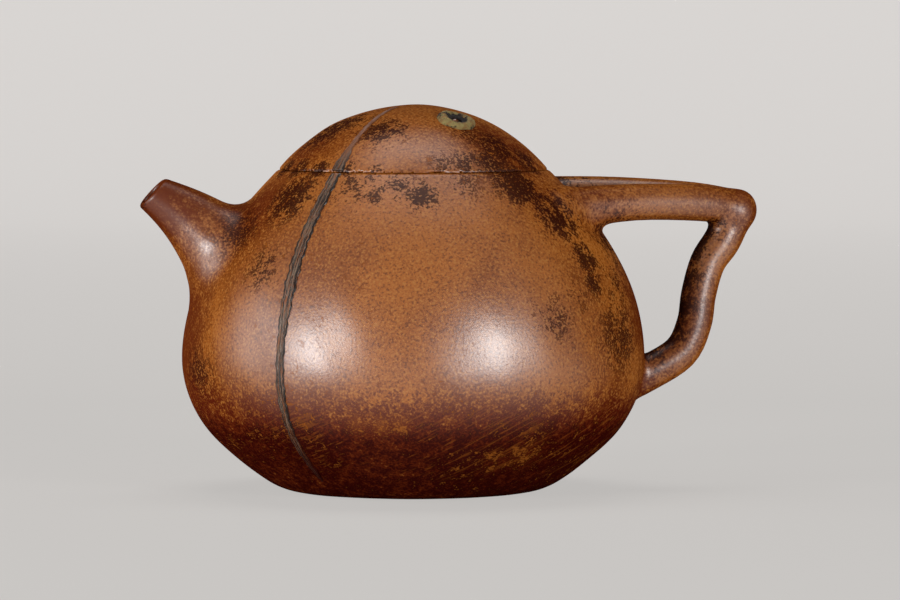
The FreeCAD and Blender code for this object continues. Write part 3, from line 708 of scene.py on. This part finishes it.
DOME_RISE = LID_TOP_Z - SEAM_Z - 0.4
DOME = (LID ** 2 + DOME_RISE ** 2) / (2 * DOME_RISE)
DOME_MIDDLE = np.array([0, 0, LID_TOP_Z - DOME])
LID_WALL, LID_HOLLOW = 2.8, 26
FLANGE_WALL = 2.8
# Nicks along the lid's edge: their middle and spread round the pot, and their depth
CHIP_TURN = math.radians(-138)
CHIP_SPREAD, CHIP_DEPTH = 0.42, 0.55
STUB_TURN = math.radians(297)
STUB_REACH = 17.1
STUB_WAY = np.array([STUB_REACH * math.cos(STUB_TURN), STUB_REACH * math.sin(STUB_TURN),
                     math.sqrt(DOME ** 2 - STUB_REACH ** 2)]) / DOME
STUB_TOP = DOME_MIDDLE + STUB_WAY * DOME
VENT, VENT_DEPTH = 1.2, 8
# Broken stem: radius, and radius of its crest
STUB, CREST = 4.5, 3.3


def lid_field(p):
    """Lid: a cap of a ball with an upright edge, nicked along one stretch, hollow below, with a flange
    that drops into the mouth and the vent through it."""
    height = p[..., 2]
    radius = np.hypot(p[..., 0], p[..., 1])
    swing = np.arctan2(p[..., 1], p[..., 0])
    nicks = np.maximum(np.sin(swing * 37) * np.sin(swing * 61 + 1) + 0.4 * np.sin(swing * 113) - 0.25, 0)
    nicks = CHIP_DEPTH * nicks * np.exp(-((swing - CHIP_TURN) / CHIP_SPREAD) ** 2)
    ball = np.linalg.norm(p - DOME_MIDDLE, axis=-1) - DOME + beaten(p)
    edge = soft_max(radius - LID + nicks, SEAM_Z - height, 0.3)
    solid = soft_max(ball, edge, 0.4)
    hollow = np.maximum(ball + LID_WALL, np.maximum(radius - LID_HOLLOW, PLATE_Z - height))
    solid = np.maximum(solid, -hollow)
    bore = np.maximum(radius - FLANGE + FLANGE_WALL, height - PLATE_Z - 0.5)
    solid = soft_max(solid, -bore, 0.4)
    ring = np.abs(radius - FLANGE + FLANGE_WALL / 2) - FLANGE_WALL / 2
    flange = soft_max(ring, np.maximum(FLANGE_Z - height, height - SEAM_Z - 1), 0.8)
    return np.maximum(soft_min(solid, flange, 0.3), -vent(p))


def beside_stub(p):
    """Height over the dome along the stem's axis, offset from that axis, and distance from it."""
    away = p - STUB_TOP
    along = away @ STUB_WAY
    flat = away - along[..., None] * STUB_WAY
    return along, flat, np.linalg.norm(flat, axis=-1)


def vent(p):
    """Round hole through stem and lid."""
    along, flat, out = beside_stub(p)
    return np.maximum(out - VENT, -VENT_DEPTH - along)


def stub_field(p):
    """Broken stem: a low ring with a ragged crest round a hollow, square to the dome, and the vent."""
    along, flat, out = beside_stub(p)
    swing = np.arctan2(flat[..., 1], flat[..., 0])
    crest = 0.35 + (0.65 + 0.25 * np.sin(2 * swing + 2)) * np.exp(-(out - CREST) ** 2)
    crest = crest + 0.12 * np.sin(flat[..., 0] * 3.7 + 1) * np.sin(flat[..., 1] * 4.1)
    edge = STUB + 0.3 * np.sin(2 * swing + 0.6) + 0.12 * np.sin(7 * swing)
    disc = soft_max(out - edge, along - crest, 0.8)
    return soft_max(np.maximum(disc, -0.6 - along), -vent(p), 0.5)


VEIN_TURN = math.radians(226.4)
VEIN_OUT = np.array([math.cos(VEIN_TURN), math.sin(VEIN_TURN), 0])
VEIN_ACROSS = np.array([-math.sin(VEIN_TURN), math.cos(VEIN_TURN), 0])
UP = np.array([0, 0, 1])
STRANDS = 3
BODY_CROWN, LID_CROWN = 0.2, 0.14
# How far the strip's foot is sunk, where the veins end, and points over which an end tapers
SUNK = 0.6
BODY_END_Z, LID_END = 4.2, 6.2
TAPER = 12


def vein_strip(line, half_width, crown, ends):
    """Strip along a line of (reach, height) points in the vein's meridian.  Across it the height is the
    crown times (0.65 + 0.35 cos), one wave to a strand, falling to nought at both sides; its foot is sunk
    in the clay.  Half width and ends, the share left where it tapers off, are one number for each point.
    Gives points, faces and the strand map."""
    tangent = np.gradient(line, axis=0)
    step = np.linalg.norm(tangent, axis=1)
    outward = np.stack([tangent[:, 1], -tangent[:, 0]], axis=1) / step[:, None]
    travel = np.cumsum(step)[:, None]
    s = np.linspace(-1, 1, 25)
    twist = 0.6 * np.sin(travel / 7) + 0.3 * np.sin(travel / 2.6 + 1)
    lift = crown * (1 - s ** 8) * (0.65 + 0.35 * np.cos(STRANDS * math.pi * s + twist))
    lift = lift * (1 + 0.25 * np.sin(0.7 * travel + 2 * s) + 0.15 * np.sin(1.9 * travel - 3 * s))
    s = np.concatenate([s, [1, -1]])
    lift = np.hstack([lift, np.full((len(line), 2), -SUNK)])
    ragged = 1 + 0.1 * np.sin(1.3 * travel + s) + 0.07 * np.sin(2.9 * travel + 2 * s + 1)
    ends = ends[:, None]
    side = s * half_width[:, None] * ends * ragged + 0.15 * np.sin(travel / 6)
    reach = line[:, :1] + lift * ends * outward[:, :1]
    height = line[:, 1:] + lift * ends * outward[:, 1:]
    points = reach[..., None] * VEIN_OUT + side[..., None] * VEIN_ACROSS + height[..., None] * UP
    index = np.arange(reach.size).reshape(reach.shape)
    beside = np.roll(index, -1, axis=1)
    quads = np.stack([index[:-1], beside[:-1], beside[1:], index[1:]], axis=-1).reshape(-1, 4)
    faces = quads.tolist() + [index[0].tolist(), index[-1, ::-1].tolist()]
    strand = np.stack(np.broadcast_arrays((s + 1) / 2, travel / MM), axis=-1).reshape(-1, 2)
    return points.reshape(-1, 3), faces, strand


def add_vein(name, line, half_width, crown, ends, body, replaced):
    """A vein strip as a piece, with its strand map."""
    points, faces, strand = vein_strip(line, half_width, crown, ends)
    material = bpy.data.materials.get("laid_green_clay") or laid_clay()
    mesh = add_piece(name, points, faces, material, body, replaced)
    corners = np.empty(len(mesh.loops), int)
    mesh.loops.foreach_get("vertex_index", corners)
    mesh.uv_layers.new(name="strand").data.foreach_set("uv", strand[corners].ravel())


# Room round a piece in its grid, in millimetres
MARGIN, SPOUT_MARGIN, HANDLE_MARGIN, STUB_MARGIN = 1.5, 8, 9, 2


class TEAPOT_OT_body(bpy.types.Operator):
    """Hollow body with its mouth, foot and strainer"""

    bl_idname = "teapot.body"
    bl_label = "Body"

    def execute(self, context):
        reach = BELLY + MARGIN
        walls = ["lower_belly", "upper_belly", "strainer", "base_disc", "shoulder_disc", "mouth_ring"]
        add_skin("body_skin", body_field, (-reach, -reach, -MARGIN), (reach, reach, SEAM_Z + MARGIN),
                 context.scene.pot_sizes.cell, clay(), "pot", walls)
        return {"FINISHED"}


class TEAPOT_OT_spout(bpy.types.Operator):
    """Spout luted to the belly"""

    bl_idname = "teapot.spout"
    bl_label = "Spout"

    def execute(self, context):
        add_skin("spout_skin", spout_field, node_low("spout") - SPOUT_MARGIN,
                 node_high("spout") + SPOUT_MARGIN, context.scene.pot_sizes.rim_cell, clay(), "pot",
                 ["spout"])
        return {"FINISHED"}


class TEAPOT_OT_handle(bpy.types.Operator):
    """Forked handle of three arms"""

    bl_idname = "teapot.handle"
    bl_label = "Handle"

    def execute(self, context):
        arms = ["handle_front_arm", "handle_rear_arm", "handle_lower_arm"]
        low = np.min([node_low(arm) for arm in arms], axis=0) - HANDLE_MARGIN
        high = np.max([node_high(arm) for arm in arms], axis=0) + HANDLE_MARGIN
        high[2] = SEAM_Z + MARGIN
        add_skin("handle_skin", handle_field, low, high, context.scene.pot_sizes.fine_cell, clay(), "pot",
                 arms)
        return {"FINISHED"}


class TEAPOT_OT_lid(bpy.types.Operator):
    """Lid with its flange, and the broken stem"""

    bl_idname = "teapot.lid"
    bl_label = "Lid"

    def execute(self, context):
        reach = LID + MARGIN
        cell = context.scene.pot_sizes.fine_cell
        add_skin("lid_skin", lid_field, (-reach, -reach, FLANGE_Z - MARGIN),
                 (reach, reach, LID_TOP_Z + MARGIN), cell, clay(), "lid",
                 ["lid_dome", "lid_plate", "lid_flange"])
        add_skin("stem_skin", stub_field, node_low("stem_stub") - STUB_MARGIN,
                 node_high("stem_stub") + STUB_MARGIN, cell / 3, broken_clay(), "lid", ["stem_stub"])
        return {"FINISHED"}


class TEAPOT_OT_veins(bpy.types.Operator):
    """Vein of green clay on the body and on the lid"""

    bl_idname = "teapot.veins"
    bl_label = "Veins"

    def execute(self, context):
        keep = (LINE_Z > BODY_END_Z) & (LINE_Z < SEAM_Z)
        line = np.stack([LINE_R[keep], LINE_Z[keep]], axis=1)[::3]
        width = np.interp(line[:, 1], [4, 25, 38, 52, 62, SEAM_Z], [0.7, 1.1, 1.1, 1.65, 1.45, 1.4])
        ends = np.clip(np.arange(len(line)) / TAPER, 0.03, 1)
        add_vein("body_vein_strip", line, width, BODY_CROWN, ends, "pot", ["body_vein"])
        reach = np.linspace(LID - 0.1, LID_END, 110)
        line = np.stack([reach, DOME_MIDDLE[2] + np.sqrt(DOME ** 2 - reach ** 2)], axis=1)
        width = np.interp(reach, [6, LID - 9, LID - 5, LID - 2], [0.4, 0.55, 0.8, 1.5])
        ends = np.clip(np.arange(len(line))[::-1] / TAPER, 0.03, 1)
        add_vein("lid_vein_strip", line, width, LID_CROWN, ends, "lid", ["lid_vein"])
        return {"FINISHED"}


# Stage

def view_ways():
    """Level directions away from the camera and to its right."""
    yaw = bpy.context.scene.stage_settings.yaw
    return np.array([math.sin(yaw), math.cos(yaw), 0]), np.array([math.cos(yaw), -math.sin(yaw), 0])


def paper_sweep():
    """Floor that turns up into a backdrop: a level run, a quarter circle and a rise, carried sideways."""
    bend, back, front, rise, half = 0.5, 1.6, -1.8, 1.6, 2.4
    swing = np.linspace(0, math.pi / 2, 24)
    depth = np.concatenate([[front, 0.0], back + bend * np.sin(swing), [back + bend]])
    height = np.concatenate([[0.0, 0.0], bend - bend * np.cos(swing), [rise]])
    away, right = view_ways()
    rows = depth[:, None] * away + height[:, None] * np.array([0, 0, 1])
    points = np.stack([rows - right * half, rows + right * half], axis=1).reshape(-1, 3)
    first = np.arange(0, len(points) - 2, 2)
    quads = np.stack([first, first + 1, first + 3, first + 2], axis=-1)
    mesh = bpy.data.meshes.new("paper_sweep")
    mesh.from_pydata(points.tolist(), [], quads.tolist())
    mesh.polygons.foreach_set("use_smooth", np.ones(len(quads), bool))
    mesh.materials.append(backdrop_paper())
    sweep = bpy.data.objects.new("paper_sweep", mesh)
    bpy.context.scene.collection.objects.link(sweep)


def aim(thing, target):
    """Turn a lamp or camera so that it looks at a point."""
    way = Vector((target - np.array(thing.location)).tolist())
    thing.rotation_euler = way.to_track_quat("-Z", "Y").to_euler()


# Soft boxes: degrees to the right of the camera, distance, height, width and height of the box in
# metres, watts
SOFT_BOXES = {
    "left_box": (-49, 1.1, 0.15, 0.28, 0.40, 7.5),
    "side_box": (-90, 1.1, 0.25, 0.5, 0.6, 3.2),
    "right_box": (39, 1.1, 0.15, 0.28, 0.40, 7.5),
    "top_box": (180, 0.3, 1.1, 0.8, 0.6, 4.0),
}


ROOM_COLOUR = linear("#b9b6b3")
ROOM_STRENGTH = 0.14


def studio_light():
    """Soft boxes at eye height either side of the camera, weak ones far left and overhead, a dim room."""
    away, right = view_ways()
    for name, (turn, distance, height, width, tall, watts) in SOFT_BOXES.items():
        angle = math.radians(turn)
        lamp = bpy.data.lights.new(name, "AREA")
        lamp.shape = "RECTANGLE"
        lamp.size, lamp.size_y, lamp.energy = width, tall, watts
        box = bpy.data.objects.new(name, lamp)
        box.location = distance * (right * math.sin(angle) - away * math.cos(angle)) + [0, 0, height]
        aim(box, np.array([0, 0, BELLY_Z / MM]))
        bpy.context.scene.collection.objects.link(box)
    world = bpy.data.worlds.new("studio")
    bpy.context.scene.world = world
    world.use_nodes = True
    room = world.node_tree.nodes["Background"]
    room.inputs["Color"].default_value = ROOM_COLOUR
    room.inputs["Strength"].default_value = ROOM_STRENGTH


PHOTO_WIDTH = 900
MM_PER_PIXEL = 0.24
AXIS_X, GROUND_Y = 413.5, 490
MIDDLE_X, MIDDLE_Y = 450, 300
SENSOR = 36.0


def photo_camera():
    """Camera at the photograph's angle: its middle pixel looks at a point beside the pot's axis."""
    settings = bpy.context.scene.stage_settings
    away, right = view_ways()
    aside = (MIDDLE_X - AXIS_X) * MM_PER_PIXEL / MM
    target = right * aside + [0, 0, (GROUND_Y - MIDDLE_Y) * MM_PER_PIXEL / MM]
    lens = bpy.data.cameras.new("photo_camera")
    camera = bpy.data.objects.new("photo_camera", lens)
    camera.location = right * aside - away * settings.distance + [0, 0, settings.height]
    aim(camera, target)
    lens.sensor_width = SENSOR
    reach = float(np.linalg.norm(np.array(camera.location) - target))
    lens.lens = SENSOR * reach / (PHOTO_WIDTH * MM_PER_PIXEL / MM)
    bpy.context.scene.collection.objects.link(camera)
    bpy.context.scene.camera = camera


class TEAPOT_OT_stage(bpy.types.Operator):
    """Paper sweep, soft lights and camera"""

    bl_idname = "teapot.stage"
    bl_label = "Stage"

    def execute(self, context):
        paper_sweep()
        studio_light()
        photo_camera()
        return {"FINISHED"}


class TEAPOT_PT_panel(bpy.types.Panel):
    """Lists the teapot's operators"""

    bl_label = "Teapot"
    bl_space_type = "VIEW_3D"
    bl_region_type = "UI"
    bl_category = "Teapot"

    def draw(self, context):
        for operator in OPERATORS:
            self.layout.operator(operator.bl_idname)


OPERATORS = [TEAPOT_OT_body, TEAPOT_OT_spout, TEAPOT_OT_handle, TEAPOT_OT_lid, TEAPOT_OT_veins,
             TEAPOT_OT_stage]
GROUPS = {"pot_sizes": PotSizes, "clay_colours": ClayColours, "stage_settings": StageSettings}


def register():
    """Register the classes and hang the settings on the scene."""
    for name, group in GROUPS.items():
        bpy.utils.register_class(group)
        setattr(bpy.types.Scene, name, bpy.props.PointerProperty(type=group))
    for made in OPERATORS + [TEAPOT_PT_panel]:
        bpy.utils.register_class(made)


def unregister():
    """Undo register."""
    for made in OPERATORS + [TEAPOT_PT_panel]:
        bpy.utils.unregister_class(made)
    for name, group in GROUPS.items():
        delattr(bpy.types.Scene, name)
        bpy.utils.unregister_class(group)


def main():
    """Build the pieces and the stage."""
    register()
    bpy.context.scene.view_settings.view_transform = "Standard"
    for operator in OPERATORS:
        family, name = operator.bl_idname.split(".")
        getattr(getattr(bpy.ops, family), name)()


if __name__ == "__main__":
    main()
